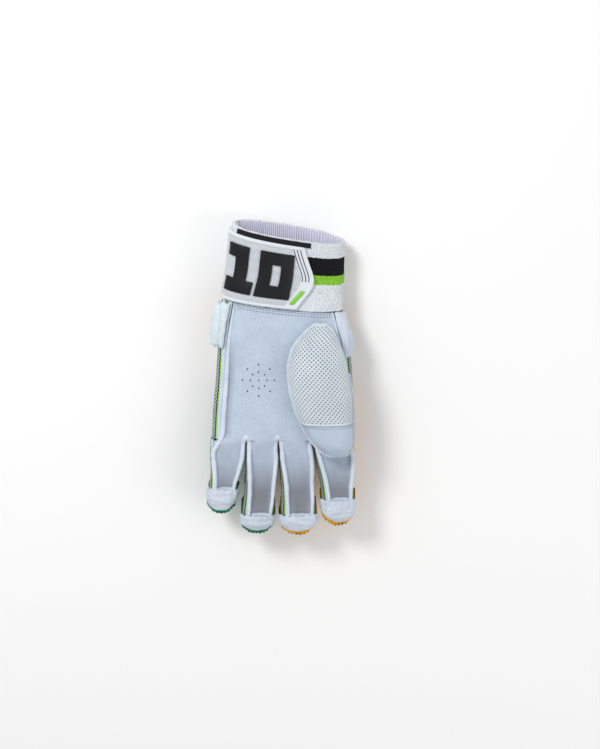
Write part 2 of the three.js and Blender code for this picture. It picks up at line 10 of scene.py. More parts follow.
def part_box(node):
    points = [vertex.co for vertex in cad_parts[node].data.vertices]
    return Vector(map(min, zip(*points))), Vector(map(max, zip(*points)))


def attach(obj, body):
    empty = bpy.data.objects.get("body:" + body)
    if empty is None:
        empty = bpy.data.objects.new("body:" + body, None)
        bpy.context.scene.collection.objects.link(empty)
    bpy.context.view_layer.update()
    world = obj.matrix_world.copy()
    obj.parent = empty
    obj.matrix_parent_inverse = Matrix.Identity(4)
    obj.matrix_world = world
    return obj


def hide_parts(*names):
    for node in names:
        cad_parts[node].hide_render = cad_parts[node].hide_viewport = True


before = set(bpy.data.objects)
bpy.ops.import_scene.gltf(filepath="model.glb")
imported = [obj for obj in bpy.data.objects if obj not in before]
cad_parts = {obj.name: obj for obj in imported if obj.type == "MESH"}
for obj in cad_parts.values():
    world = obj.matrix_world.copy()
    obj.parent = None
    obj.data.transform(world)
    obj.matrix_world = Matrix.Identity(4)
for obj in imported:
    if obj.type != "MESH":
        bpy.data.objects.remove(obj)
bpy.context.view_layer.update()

# Camera, light and floor
# The camera looks straight onto the palm from a little towards the cuff, in a bright even studio,
# and the glove lies on a sheet of pale paper.
CAMERA_TARGET = Vector((0.0184, 0.008, 0.05))
CAMERA_DISTANCE = 1.3
CAMERA_TILT = math.radians(10)
SENSOR_WIDTH = 36
SEEN_HEIGHT = 0.7116
ROOM_LIGHT = 0.62
PAPER_HALF = 3
PAPER_COLOUR = (0.93, 0.93, 0.93, 1)
camera_data = bpy.data.cameras.new("camera")
camera_data.sensor_fit = "AUTO"
camera_data.sensor_width = SENSOR_WIDTH
camera_data.lens = SENSOR_WIDTH * CAMERA_DISTANCE / SEEN_HEIGHT
camera = bpy.data.objects.new("camera", camera_data)
camera.location = CAMERA_TARGET + CAMERA_DISTANCE * Vector((0, math.sin(CAMERA_TILT), math.cos(CAMERA_TILT)))
camera.rotation_euler = (-CAMERA_TILT, 0, 0)
bpy.context.scene.collection.objects.link(camera)
bpy.context.scene.camera = camera
bpy.context.scene.view_settings.view_transform = "Standard"

world = bpy.data.worlds.new("studio")
world.use_nodes = True
world.node_tree.nodes["Background"].inputs["Color"].default_value = (1, 1, 1, 1)
world.node_tree.nodes["Background"].inputs["Strength"].default_value = ROOM_LIGHT
bpy.context.scene.world = world


def soft_light(name, location, size, energy):
    """A round soft box that faces the glove"""
    data = bpy.data.lights.new(name, "AREA")
    data.shape = "DISK"
    data.size = size
    data.energy = energy
    light = bpy.data.objects.new(name, data)
    light.location = location
    light.rotation_euler = (-Vector(location)).to_track_quat("-Z", "Y").to_euler()
    bpy.context.scene.collection.objects.link(light)


soft_light("key", (-0.7, 0.9, 1.3), size=0.5, energy=14)
soft_light("fill", (1.1, -0.3, 1.1), size=0.9, energy=4)

floor_mesh = bpy.data.meshes.new("floor")
sheet = bmesh.new()
bmesh.ops.create_grid(sheet, x_segments=1, y_segments=1, size=PAPER_HALF)
sheet.to_mesh(floor_mesh)
sheet.free()
floor = bpy.data.objects.new("floor", floor_mesh)
bpy.context.scene.collection.objects.link(floor)
paper = bpy.data.materials.new("pale_paper")
paper.use_nodes = True
paper.node_tree.nodes["Principled BSDF"].inputs["Base Color"].default_value = PAPER_COLOUR
paper.node_tree.nodes["Principled BSDF"].inputs["Roughness"].default_value = 0.9
floor.data.materials.append(paper)

# Towelling wristband
# A tube of looped cotton towelling, white with a knitted black and a lime stripe below its rim,
# sewn to the palm and the back of the hand at its lower edge.
EDGE_CREASE = 0.85
TOWEL_LOOP = 0.0011
TOWEL_PILE = 0.0007
KNIT_PILE_SHARE = 0.35
KNIT_SUNK = 0.0006
RUFFLE = 0.0006
RUFFLE_SIZE = 0.009
WHITE_TO = 0.0150
BLACK_TO = 0.0320
LIME_TO = 0.0412
STRIPE_RAGGED = 0.0012
LOOP_BUMP = 0.0012


def node_copy(node):
    """A merged copy of a CAD solid, its triangles joined back into quads"""
    bm = bmesh.new()
    bm.from_mesh(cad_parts[node].data)
    bmesh.ops.remove_doubles(bm, verts=bm.verts, dist=1e-6)
    bmesh.ops.join_triangles(bm, faces=bm.faces, angle_face_threshold=math.radians(100),
                             angle_shape_threshold=math.pi, topology_influence=2)
    bm.normal_update()
    return bm


def subdivided(bm, levels, crease_from=55):
    """The same surface, smooth and fine, with its sharp edges kept tight"""
    crease = bm.edges.layers.float.new("crease_edge")
    for edge in bm.edges:
        if edge.calc_face_angle(0) > math.radians(crease_from):
            edge[crease] = EDGE_CREASE
    mesh = bpy.data.meshes.new("rough")
    bm.to_mesh(mesh)
    bm.free()
    rough = bpy.data.objects.new("rough", mesh)
    bpy.context.scene.collection.objects.link(rough)
    smooth = rough.modifiers.new("smooth", "SUBSURF")
    smooth.levels = smooth.render_levels = levels
    fine = bmesh.new()
    fine.from_object(rough, bpy.context.evaluated_depsgraph_get())
    bpy.data.objects.remove(rough)
    bpy.data.meshes.remove(mesh)
    fine.edges.layers.float.remove(fine.edges.layers.float["crease_edge"])
    fine.normal_update()
    return fine


def add_piece(name, bm, material, nodes=(), sharp_from=50):
    """A finished piece of the glove from its mesh"""
    mesh = bpy.data.meshes.new(name)
    for face in bm.faces:
        face.smooth = True
    bm.to_mesh(mesh)
    bm.free()
    mesh.set_sharp_from_angle(angle=math.radians(sharp_from))
    mesh.materials.append(material)
    piece = bpy.data.objects.new(name, mesh)
    bpy.context.scene.collection.objects.link(piece)
    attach(piece, "root")
    if nodes:
        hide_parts(*nodes)
    return piece


def new_material(name, roughness, sheen=0.0):
    """A matt material, with its node tree and its shader"""
    material = bpy.data.materials.new(name)
    material.use_nodes = True
    shader = material.node_tree.nodes["Principled BSDF"]
    shader.inputs["Roughness"].default_value = roughness
    shader.inputs["Specular IOR Level"].default_value = 0.25
    shader.inputs["Sheen Weight"].default_value = sheen
    return material, material.node_tree, shader


def new_group(name):
    """A node group for a surface: takes the grains per metre, and gives a height and a slow tone"""
    group = bpy.data.node_groups.new(name, "ShaderNodeTree")
    scale = group.interface.new_socket("Scale", in_out="INPUT", socket_type="NodeSocketFloat")
    scale.default_value = 900.0
    for socket in ("Height", "Tone"):
        group.interface.new_socket(socket, in_out="OUTPUT", socket_type="NodeSocketFloat")
    return group, group.nodes.new("NodeGroupInput").outputs["Scale"], group.nodes.new("NodeGroupOutput")


def attribute(tree, name):
    """An attribute of the piece's mesh, read as a number and as a vector"""
    node = tree.nodes.new("ShaderNodeAttribute")
    node.attribute_name = name
    return node.outputs["Fac"], node.outputs["Vector"]


def math_node(tree, operation, first, second=None, third=None):
    """The result of a Math node on sockets or plain numbers"""
    node = tree.nodes.new("ShaderNodeMath")
    node.operation = operation
    for index, value in enumerate((first, second, third)):
        if value is None:
            continue
        if isinstance(value, (int, float)):
            node.inputs[index].default_value = value
        else:
            tree.links.new(value, node.inputs[index])
    return node.outputs[0]


def between(tree, value, low, high):
    """A mask that is 1 where a value lies between two others"""
    return math_node(tree, "MULTIPLY", math_node(tree, "GREATER_THAN", value, low),
                     math_node(tree, "LESS_THAN", value, high))


def colour_mix(tree, factor, first, second):
    """One colour where the factor is 0 and the other where it is 1"""
    node = tree.nodes.new("ShaderNodeMix")
    node.data_type = "RGBA"
    tree.links.new(factor, node.inputs["Factor"])
    for socket, value in ((node.inputs["A"], first), (node.inputs["B"], second)):
        if isinstance(value, tuple):
            socket.default_value = (*value, 1)
        else:
            tree.links.new(value, socket)
    return node.outputs["Result"]


def bump(tree, shader, height, distance):
    """Raises the shaded surface by a height, as deep as the distance"""
    node = tree.nodes.new("ShaderNodeBump")
    node.inputs["Distance"].default_value = distance
    tree.links.new(height, node.inputs["Height"])
    tree.links.new(node.outputs["Normal"], shader.inputs["Normal"])


def use_group(tree, group, scale):
    """The height and the tone of a surface group at a number of grains per metre"""
    node = tree.nodes.new("ShaderNodeGroup")
    node.node_tree = group
    node.inputs["Scale"].default_value = scale
    return node.outputs["Height"], node.outputs["Tone"]


def clamp(value, low=0.0, high=1.0):
    """A number kept between two others"""
    return min(max(value, low), high)


# Looped or matted fibre: cells a loop wide with fine noise in them, and slow patches of tone
fibre, fibre_scale, fibre_out = new_group("fibre")
place = fibre.nodes.new("ShaderNodeTexCoord")
cells = fibre.nodes.new("ShaderNodeTexVoronoi")
fluff = fibre.nodes.new("ShaderNodeTexNoise")
patches = fibre.nodes.new("ShaderNodeTexNoise")
fluff.inputs["Detail"].default_value = 3
patches.inputs["Scale"].default_value = 60
for texture in (cells, fluff, patches):
    fibre.links.new(place.outputs["Object"], texture.inputs["Vector"])
fibre.links.new(fibre_scale, cells.inputs["Scale"])
fibre.links.new(math_node(fibre, "MULTIPLY", fibre_scale, 2.3), fluff.inputs["Scale"])
loops = math_node(fibre, "SUBTRACT", 1.0, cells.outputs["Distance"])
looped = math_node(fibre, "MULTIPLY_ADD", fluff.outputs["Fac"], 0.5, loops)
fibre.links.new(looped, fibre_out.inputs["Height"])
fibre.links.new(patches.outputs["Fac"], fibre_out.inputs["Tone"])

towelling, tree, shader = new_material("towelling", roughness=0.95)
pile, _ = use_group(tree, fibre, 800.0)
stripe, _ = attribute(tree, "from_rim")
ragged = math_node(tree, "MULTIPLY_ADD", pile, STRIPE_RAGGED, stripe)
black_mask = between(tree, ragged, WHITE_TO + STRIPE_RAGGED, BLACK_TO + STRIPE_RAGGED)
lime_mask = between(tree, ragged, BLACK_TO + STRIPE_RAGGED, LIME_TO + STRIPE_RAGGED)
# Painted shade: each stripe is darker where the pile is low, between the loops, and lighter on the loop tops
white_pile = colour_mix(tree, pile, (0.62, 0.68, 0.76), (0.93, 0.97, 1.0))
lime_pile = colour_mix(tree, pile, (0.13, 0.36, 0.02), (0.32, 0.72, 0.05))
black_pile = colour_mix(tree, pile, (0.002, 0.002, 0.003), (0.008, 0.008, 0.012))
striped = colour_mix(tree, lime_mask, colour_mix(tree, black_mask, white_pile, black_pile), lime_pile)
tree.links.new(striped, shader.inputs["Base Color"])
bump(tree, shader, pile, LOOP_BUMP)

# The cuff leans and turns: yaw about Z in degrees and lean along Y, at the rim and each step below
LEAN_STEP = 0.034
LEAN = ((13, 0.28), (11.5, 0.28), (7, 0.24))
FIRST_GUESS = 0.03
low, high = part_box("wristband")
CUFF_MIDDLE = Vector(((low.x + high.x) / 2, high.y - 0.0085, (low.z + high.z) / 2))


def from_rim(point):
    """Distance of a point on the cuff from the rim, measured along the cuff"""
    down = FIRST_GUESS
    for _ in range(4):
        share = clamp(down / LEAN_STEP, 0, 2)
        first, second = (LEAN[0], LEAN[1]) if share < 1 else (LEAN[1], LEAN[2])
        part = share if share < 1 else share - 1
        yaw = math.radians(first[0] + (second[0] - first[0]) * part)
        lean = first[1] + (second[1] - first[1]) * part
        offset = CUFF_MIDDLE - point
        down = offset.y + offset.x * math.sin(yaw) + offset.z * lean
    return down


band = subdivided(node_copy("wristband"), 3)
rim_layer = band.verts.layers.float.new("from_rim")
for vert in band.verts:
    down = from_rim(vert.co)
    vert[rim_layer] = down
    knitted = WHITE_TO < down < LIME_TO
    loop = noise.noise(vert.co / TOWEL_LOOP) + 0.5 * noise.noise(vert.co / TOWEL_LOOP * 2.7)
    ruffle = noise.noise(vert.co / RUFFLE_SIZE)
    vert.co += vert.normal * (TOWEL_PILE * (KNIT_PILE_SHARE if knitted else 1) * loop + RUFFLE * ruffle)
    vert.co -= vert.normal * (KNIT_SUNK if knitted else 0)
piece = add_piece("towel_wristband", band, towelling, ["wristband"], sharp_from=180)

# Lining
# A tube of fine ribbed knit inside the towelling, sewn to it at the rim and at the wrist.
# Its ribs run from rim to wrist and are counted round the cuff's oval.
RIB = 0.0023
RIB_BUMP = 0.0008
CUFF_HALF = (0.0525, 0.019)
CUFF_ROLL = math.radians(9)
knit, tree, shader = new_material("rib_knit", roughness=0.9, sheen=0.3)
around, _ = attribute(tree, "around")
wale = math_node(tree, "SINE", math_node(tree, "MULTIPLY", around, 2 * math.pi / RIB))
wale = math_node(tree, "MULTIPLY_ADD", wale, 0.5, 0.5)
threads, _ = use_group(tree, fibre, 2200.0)
# Painted shade: the knit is blue-grey in the valleys between the ribs and white on their crowns
ribbed = colour_mix(tree, wale, (0.56, 0.57, 0.76), (0.88, 0.90, 1.0))
tree.links.new(ribbed, shader.inputs["Base Color"])
bump(tree, shader, math_node(tree, "MULTIPLY_ADD", threads, 0.3, wale), RIB_BUMP)


def run_lengths(points, axis=0):
    """How far each point of a row lies from the row's first, along an axis of the array"""
    steps = np.linalg.norm(np.diff(points, axis=axis), axis=-1)
    return np.insert(np.cumsum(steps, axis=axis), 0, 0, axis=axis)


def rumpled(bm, height, size):
    """The same surface with a gentle unevenness"""
    for vert in bm.verts:
        vert.co += vert.normal * height * noise.noise(vert.co / size)
    return bm


turns = np.linspace(-math.pi, math.pi, 721)
arcs = run_lengths(np.stack([CUFF_HALF[0] * np.cos(turns), CUFF_HALF[1] * np.sin(turns)], axis=1))
knit_tube = subdivided(node_copy("lining"), 2)
around_layer = knit_tube.verts.layers.float.new("around")
for vert in knit_tube.verts:
    x, z = vert.co.x - CUFF_MIDDLE.x, vert.co.z - CUFF_MIDDLE.z
    level = x * math.cos(CUFF_ROLL) - z * math.sin(CUFF_ROLL)
    upright = z * math.cos(CUFF_ROLL) + x * math.sin(CUFF_ROLL)
    turn = math.atan2(upright / CUFF_HALF[1], level / CUFF_HALF[0])
    vert[around_layer] = float(np.interp(turn, turns, arcs))
piece = add_piece("ribbed_lining", rumpled(knit_tube, height=0.0004, size=0.012), knit,
                  ["lining"], sharp_from=180)

# Palm leather
# One sheet of pale soft leather from the wrist seam to the four finger strips, sunk between the
# fingers' seams, with a punched flower of 17 air holes and a double row of stitches at the wrist.
PALM_COLOUR = (0.58, 0.68, 0.81)
# Painted shade: the grey that the finger channels and the groove on the little finger's side of the palm are
# coloured towards
PAINTED_CHANNEL_SHADE = (0.25, 0.262, 0.30)
CHANNEL_FADE = 0.05
GROOVE_WIDTH = 0.0085
GROOVE_DEPTH = 0.0012
GROOVE_TOP = 0.045
GROOVE_FADE = 0.03
GROOVE_SHADE = 0.7
WRINKLE = 0.0013
WRINKLE_SIZES = (0.020, 0.035, 1)
PUCKER = 0.0009
PUCKER_SIZES = (0.007, 0.016, 1)
HEEL_PLEAT = 0.0005
HEEL_PLEAT_SIZE = 0.0021
HEEL_Y = 0.075
HEEL_HALF = 0.012
HOLES_MIDDLE = (-0.0209, 0.0029)
HOLE_RADIUS = 0.0008
HOLE_LIFT = 0.00012
HOLE_RIM = 0.0002
HOLE_DEPTH = 0.00008
HOLE_RINGS = (0.0079, 0.0152)
HOLES_A_RING = 8
WRIST_ROWS = (0.0018, 0.0042)
FINGERS = ("little", "ring", "middle", "index")


def sheet_grid(start, u_hint):
    """The corners over one face of a sheet as rows, from a corner, with the columns along a direction"""
    def straight(vert, edge):
        path = [vert]
        while True:
            vert = edge.other_vert(vert)
            path.append(vert)
            if len(vert.link_edges) == 3:
                return path
            beside = set(edge.link_faces)
            edge = next(e for e in vert.link_edges if e != edge and not beside & set(e.link_faces))

    runs = sorted((straight(start, edge) for edge in start.link_edges), key=len)
    row, column = sorted(runs[1:], key=lambda run: -(run[1].co - run[0].co).normalized().dot(u_hint))
    grid = [row]
    for j in range(1, len(column)):
        line = [column[j]]
        for i in range(1, len(row)):
            known = (grid[j - 1][i - 1], grid[j - 1][i], line[i - 1])
            face = next(f for f in known[0].link_faces if known[1] in f.verts and known[2] in f.verts)
            line.append(next(v for v in face.verts if v not in known))
        grid.append(line)
    return grid, runs[0][1]


def laid_out(bm, near, u_hint):
    """Writes each corner's place on the flat cut as metres across, along and from the far edge, and
    returns the outer face's corners as an array"""
    flat = bm.verts.layers.float_vector.new("flat")
    u_hint = Vector(u_hint)
    ends = [v for v in bm.verts if len(v.link_edges) == 3]
    outer, under = sheet_grid(min(ends, key=lambda v: (v.co - Vector(near)).length), u_hint)
    inner, _ = sheet_grid(under, u_hint)
    corners = np.array([[v.co[:] for v in row] for row in outer])
    across = run_lengths(corners, axis=1)
    along = run_lengths(corners, axis=0).mean(axis=1)
    for grid in (outer, inner):
        for j, row in enumerate(grid):
            for i, vert in enumerate(row):
                vert[flat] = (across[j, i], along[j], across[j, -1] - across[j, i])
    return corners


def creases(point, sizes):
    """Noise at a point, drawn out to a size along each axis"""
    return noise.noise(Vector([place / size for place, size in zip(point, sizes)]))


def add_ball(bm, middle, radii, sides, rings, turned=Matrix.Identity(4)):
    """A ball with three radii at a place"""
    bmesh.ops.create_uvsphere(bm, u_segments=sides, v_segments=rings, radius=1,
                              matrix=Matrix.Translation(middle) @ turned @ Matrix.Diagonal((*radii, 1)))


def sew(threads, surface, line, pitch, length, width, slanted=0):
    """Stitches of thread laid along a line on a surface, each turned by an angle, to and fro"""
    line = [Vector(p) for p in line]
    steps = run_lengths(np.array(line))
    count = max(int(steps[-1] / pitch), 1)
    for k in range(count):
        at = (k + 0.5) * steps[-1] / count
        i = clamp(np.searchsorted(steps, at) - 1, 0, len(line) - 2)
        point = line[i].lerp(line[i + 1], (at - steps[i]) / max(steps[i + 1] - steps[i], 1e-9))
        seat, normal, _, _ = surface.find_nearest(point)
        run = line[i + 1] - line[i]
        run = (run - normal * run.dot(normal)).normalized()
        run = Matrix.Rotation(math.radians(slanted * (1 if k % 2 else -1)), 3, normal) @ run
        turned = Matrix((run, normal.cross(run), normal)).transposed().to_4x4()
        add_ball(threads, seat + normal * width * 0.2, (length / 2, width / 2, width / 2), 6, 4, turned)


# Leather grain: small cells, fine pores and slow patches of tone from tanning and handling
grain, grain_scale, grain_out = new_group("leather_grain")
place = grain.nodes.new("ShaderNodeTexCoord")
cells = grain.nodes.new("ShaderNodeTexVoronoi")
cells.feature = "DISTANCE_TO_EDGE"
pores = grain.nodes.new("ShaderNodeTexNoise")
patches = grain.nodes.new("ShaderNodeTexNoise")
patches.inputs["Scale"].default_value = 38
patches.inputs["Detail"].default_value = 4
for texture in (cells, pores, patches):
    grain.links.new(place.outputs["Object"], texture.inputs["Vector"])
grain.links.new(grain_scale, cells.inputs["Scale"])
grain.links.new(math_node(grain, "MULTIPLY", grain_scale, 1.7), pores.inputs["Scale"])
ridges = math_node(grain, "MINIMUM", math_node(grain, "MULTIPLY", cells.outputs["Distance"], 4.0), 1.0)
grained = math_node(grain, "MULTIPLY_ADD", pores.outputs["Fac"], 0.6, ridges)
grain.links.new(grained, grain_out.inputs["Height"])
grain.links.new(patches.outputs["Fac"], grain_out.inputs["Tone"])


def leather(name, light, dark, roughness, scale, depth):
    """Grained leather that varies between two tones"""
    material, tree, shader = new_material(name, roughness)
    skin, patch = use_group(tree, grain, scale)
    tone = math_node(tree, "MULTIPLY_ADD", patch, 2.4, -0.7)
    tone = math_node(tree, "MINIMUM", math_node(tree, "MAXIMUM", tone, 0.0), 1.0)
    tree.links.new(colour_mix(tree, tone, dark, light), shader.inputs["Base Color"])
    bump(tree, shader, skin, depth)
    return material


palm_leather = leather("palm_leather", PALM_COLOUR, tuple(c * 0.9 for c in PALM_COLOUR), 0.55, 900.0, 0.00025)
tree = palm_leather.node_tree
base_colour = tree.nodes["Principled BSDF"].inputs["Base Color"]
# Painted shade: the leather turns towards that grey down the finger channels and along the groove on the
# little finger's side, by a weight stored on each corner of the mesh
painted_shade, _ = attribute(tree, "painted_shade")
tree.links.new(colour_mix(tree, painted_shade, base_colour.links[0].from_socket, PAINTED_CHANNEL_SHADE), base_colour)

stall_copies, seam_lines = {}, {}
for finger in FINGERS:
    low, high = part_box(f"stall_{finger}")
    stall_copies[finger] = node_copy(f"stall_{finger}")
    corners = laid_out(stall_copies[finger], near=(low.x - 0.1, high.y, 0.2), u_hint=(-1, 0, -0.5))
    seam_lines[finger] = (corners[:, 0], corners[:, -1])
ROOT_Y = max(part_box(f"stall_{finger}")[1].y for finger in FINGERS)


def share_across(x, y):
    """Where a point lies between the two seams of its finger, 0 to 1"""
    shares = []
    for finger in FINGERS:
        left, right = (np.interp(-y, -line[:, 1], line[:, 0]) for line in seam_lines[finger])
        shares.append((x - left) / (right - left))
    return min(shares, key=lambda share: abs(share - 0.5))


palm = subdivided(node_copy("palm"), 3)
painted_shade_layer = palm.verts.layers.float.new("painted_shade")
low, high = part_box("palm")
edge_ys = np.linspace(low.y, high.y, 60)
edge_xs = [min((v.co.x for v in palm.verts if abs(v.co.y - y) < 0.004), default=0.0) for y in edge_ys]
for vert in palm.verts:
    x, y, _ = vert.co
    middle = max(0.0, 1 - (2 * share_across(x, min(y, ROOT_Y)) - 1) ** 4)
    from_root = (ROOT_Y - y) / CHANNEL_FADE
    from_edge = (x - float(np.interp(y, edge_ys, edge_xs))) / GROOVE_WIDTH
    # Along the little finger's side of the palm a groove lowers the leather, and the same weight paints shade
    # into it
    groove = max(0.0, 1 - from_edge) * clamp((GROOVE_TOP - y) / GROOVE_FADE)
    groove *= GROOVE_SHADE if from_root < 0 else 0.0
    # Painted shade: the weight grows down each finger channel and towards its middle, and the edge groove
    # adds its own share
    vert[painted_shade_layer] = max(clamp(from_root) ** 1.5 * middle, groove)
    vert.co.z -= GROOVE_DEPTH * groove
    wrinkle = WRINKLE * creases((x, y, 0), WRINKLE_SIZES)
    pucker = PUCKER * creases((x, y, 3), PUCKER_SIZES) * clamp(from_root + 0.6, 0.2)
    pleat = math.sin(x / HEEL_PLEAT_SIZE + 2 * noise.noise(vert.co / 0.01))
    heel = HEEL_PLEAT * max(0.0, 1 - abs(y - HEEL_Y) / HEEL_HALF) * pleat
    vert.co.z += wrinkle + pucker + heel
palm_surface = BVHTree.FromBMesh(palm)
wrist_line = [(x, max(v.co.y for v in palm.verts if abs(v.co.x - x) < 0.0015))
              for x in np.linspace(-0.041, 0.048, 40)]
palm_piece = add_piece("palm_sheet", palm, palm_leather, ["palm"])


def on_palm(x, y):
    """The palm's surface below a place, and which way it faces there"""
    seat, normal, _, _ = palm_surface.ray_cast(Vector((x, y, 0.09)), Vector((0, 0, -1)))
    return seat, normal


grey_thread = leather("grey_thread", (0.36, 0.40, 0.47), (0.28, 0.31, 0.37), 0.8, 2500.0, 0.0001)
threads = bmesh.new()
for inset in WRIST_ROWS:
    row = [on_palm(x, y - inset)[0] for x, y in wrist_line]
    sew(threads, palm_surface, row, pitch=0.0030, length=0.0021, width=0.0010)
add_piece("palm_stitches", threads, grey_thread)

# Painted shade: each air hole is a dark disc with a shallow recess laid on the leather, coloured for the dark
# inside of the hole
hole_shade_material, tree, shader = new_material("hole_shade_disc", roughness=0.95)
fluff, _ = use_group(tree, fibre, 2500.0)
painted_hole_shade = colour_mix(tree, fluff, (0.008, 0.008, 0.012), (0.05, 0.05, 0.065))
tree.links.new(painted_hole_shade, shader.inputs["Base Color"])
holes = bmesh.new()
spots = [(0.0, 0.0)]
for radius in HOLE_RINGS:
    for k in range(HOLES_A_RING):
        turn = math.radians(360 / HOLES_A_RING * k + 90)
        spots.append((radius * math.cos(turn), radius * math.sin(turn)))
for dx, dy in spots:
    seat, normal = on_palm(HOLES_MIDDLE[0] + dx, HOLES_MIDDLE[1] + dy)
    upright = normal.to_track_quat("Z", "Y").to_matrix().to_4x4()
    made = bmesh.ops.create_circle(holes, cap_ends=True, segments=14, radius=HOLE_RADIUS,
                                   matrix=Matrix.Translation(seat + normal * HOLE_LIFT) @ upright)
    disc = list(made["verts"][0].link_faces)
    bmesh.ops.inset_region(holes, faces=disc, thickness=HOLE_RIM, depth=-HOLE_DEPTH)
add_piece("air_holes", holes, hole_shade_material)

# Back of the hand and finger stalls
# Woven black cloth round the hand and each finger, its sides faced with white leather, lime piping
# and a black tape with a printed chain. All are sewn to the palm leather in raised welts.
BACK_BAND = 0.0175
BACK_WHITE = 0.0042
STALL_BAND = 0.0150
STALL_WHITE = 0.0024
LIME_FROM, TAPE_FROM, TAPE_TO, PIPING_TO = 0.34, 0.42, 0.80, 0.88
CHAIN = 0.0034
CHAIN_HALF_WIDTH = 0.30 * (TAPE_TO - TAPE_FROM)
CHAIN_THREAD = 0.3
STALL_CUTS = {"little": (0.074, 0.068, 0.0045), "ring": (0.072, 0.089, 0.0059),
              "middle": (0.077, 0.090, 0.00625), "index": (0.080, 0.080, 0.00565)}
side_bands, tree, shader = new_material("side_bands", roughness=0.75, sheen=0.1)
share, _ = attribute(tree, "band")
run, _ = attribute(tree, "run")
_, skin_tone = use_group(tree, grain, 900.0)
threads, _ = use_group(tree, fibre, 1600.0)
zigzag = math_node(tree, "DIVIDE", math_node(tree, "PINGPONG", run, CHAIN / 2), CHAIN / 2)
middle = math_node(tree, "SUBTRACT", share, (TAPE_FROM + TAPE_TO) / 2)
from_middle = math_node(tree, "DIVIDE", math_node(tree, "ABSOLUTE", middle), CHAIN_HALF_WIDTH)
link_off = math_node(tree, "ABSOLUTE", math_node(tree, "SUBTRACT", from_middle, zigzag))
chain = math_node(tree, "MULTIPLY", math_node(tree, "LESS_THAN", link_off, CHAIN_THREAD),
                  math_node(tree, "LESS_THAN", from_middle, 1.05))
black_cloth = colour_mix(tree, threads, (0.004, 0.004, 0.007), (0.02, 0.02, 0.028))
printed = colour_mix(tree, chain, black_cloth, (0.62, 0.64, 0.68))
tape = colour_mix(tree, between(tree, share, TAPE_FROM, TAPE_TO), black_cloth, printed)
piping = math_node(tree, "MAXIMUM", between(tree, share, LIME_FROM, TAPE_FROM),
                   between(tree, share, TAPE_TO, PIPING_TO))
with_lime = colour_mix(tree, piping, tape, (0.26, 0.67, 0.05))
white_side = colour_mix(tree, skin_tone, (0.50, 0.57, 0.68), (0.70, 0.78, 0.90))
is_white = math_node(tree, "LESS_THAN", share, LIME_FROM)
tree.links.new(colour_mix(tree, is_white, with_lime, white_side), shader.inputs["Base Color"])
bump(tree, shader, math_node(tree, "MULTIPLY_ADD", piping, 2.0, threads), 0.0003)


def banded(bm, name, node, width, white, bulge):
    """A cloth side with its bands measured from both seams, eased out a little between them"""
    flat = bm.verts.layers.float_vector["flat"]
    share_layer = bm.verts.layers.float.new("band")
    run_layer = bm.verts.layers.float.new("run")
    for vert in bm.verts:
        left, along, right = vert[flat]
        inner = min(left, right) - white
        if inner < 0:
            vert[share_layer] = LIME_FROM * (1 + inner / white)
        else:
            vert[share_layer] = LIME_FROM + (1 - LIME_FROM) * inner / (width - white)
        vert[run_layer] = along
        puff = bulge * max(0.0, 1 - abs(2 * min(left, right) / width - 0.4))
        wave = 0.0004 * noise.noise(vert.co / 0.009) + 0.0002 * noise.noise(vert.co / 0.003)
        vert.co += vert.normal * (puff + wave)
    return add_piece(name, bm, side_bands, [node])


for finger in FINGERS:
    side = banded(subdivided(stall_copies[finger], 2), f"stall_cloth_{finger}", f"stall_{finger}",
                  STALL_BAND, STALL_WHITE, bulge=0.0003)
    width, length, area = STALL_CUTS[finger]
back = node_copy("hand_back")
low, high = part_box("hand_back")
back_corners = laid_out(back, near=(low.x - 0.1, high.y, 0.2), u_hint=(-1, 0, -0.5))
piece = banded(subdivided(back, 2), "back_cloth", "hand_back", BACK_BAND, BACK_WHITE, bulge=0.0002)

# Seam welts
# The seams between palm leather and sides are turned outwards and stuffed with cord. One runs down
# each side of every finger and over the crotches as an upturned V, and one up each edge of the palm.
WELT_RADIUS = 0.0023
WELT_LIFT = 0.0004
WELT_INSET = 0.0006
BACK_INSET = 0.0022
CROTCH_RISE = 0.0050
SHOULDER_LIFT = 0.0016
FOLD_RADIUS = 0.0013
FOLD_STEP = 0.001


def tube(points, radius):
    """A round cord through points, thin at both ends"""
    curve = bpy.data.curves.new("cord", "CURVE")
    curve.dimensions = "3D"
    curve.bevel_depth = 1.0
    curve.bevel_resolution = 3
    curve.use_fill_caps = True
    curve.resolution_u = 4
    spline = curve.splines.new("NURBS")
    spline.points.add(len(points) - 1)
    for k, (point, place) in enumerate(zip(spline.points, points)):
        from_ends = min(k, len(points) - 1 - k)
        point.co = (*place, 1)
        point.radius = radius * min(1, 0.35 + 3 * from_ends / len(points))
    spline.order_u = 4
    spline.use_endpoint_u = True
    cord = bpy.data.objects.new("cord", curve)
    bpy.context.scene.collection.objects.link(cord)
    made = bmesh.new()
    made.from_mesh(cord.evaluated_get(bpy.context.evaluated_depsgraph_get()).to_mesh())
    bpy.data.objects.remove(cord)
    bpy.data.curves.remove(curve)
    return made


def add_cord(name, points, radius, uneven, material):
    """A sewn cord through points, with the slight unevenness of a turned seam"""
    made = tube(points, radius)
    made.normal_update()
    for vert in made.verts:
        lumps = noise.noise(vert.co / 0.007) + 0.5 * noise.noise(vert.co / 0.0025)
        vert.co += vert.normal * uneven * lumps
    add_piece(name, made, material)


def shifted(points, x, y, z):
    """Points all moved by the same amount"""
    return [Vector(p) + Vector((x, y, z)) for p in points]


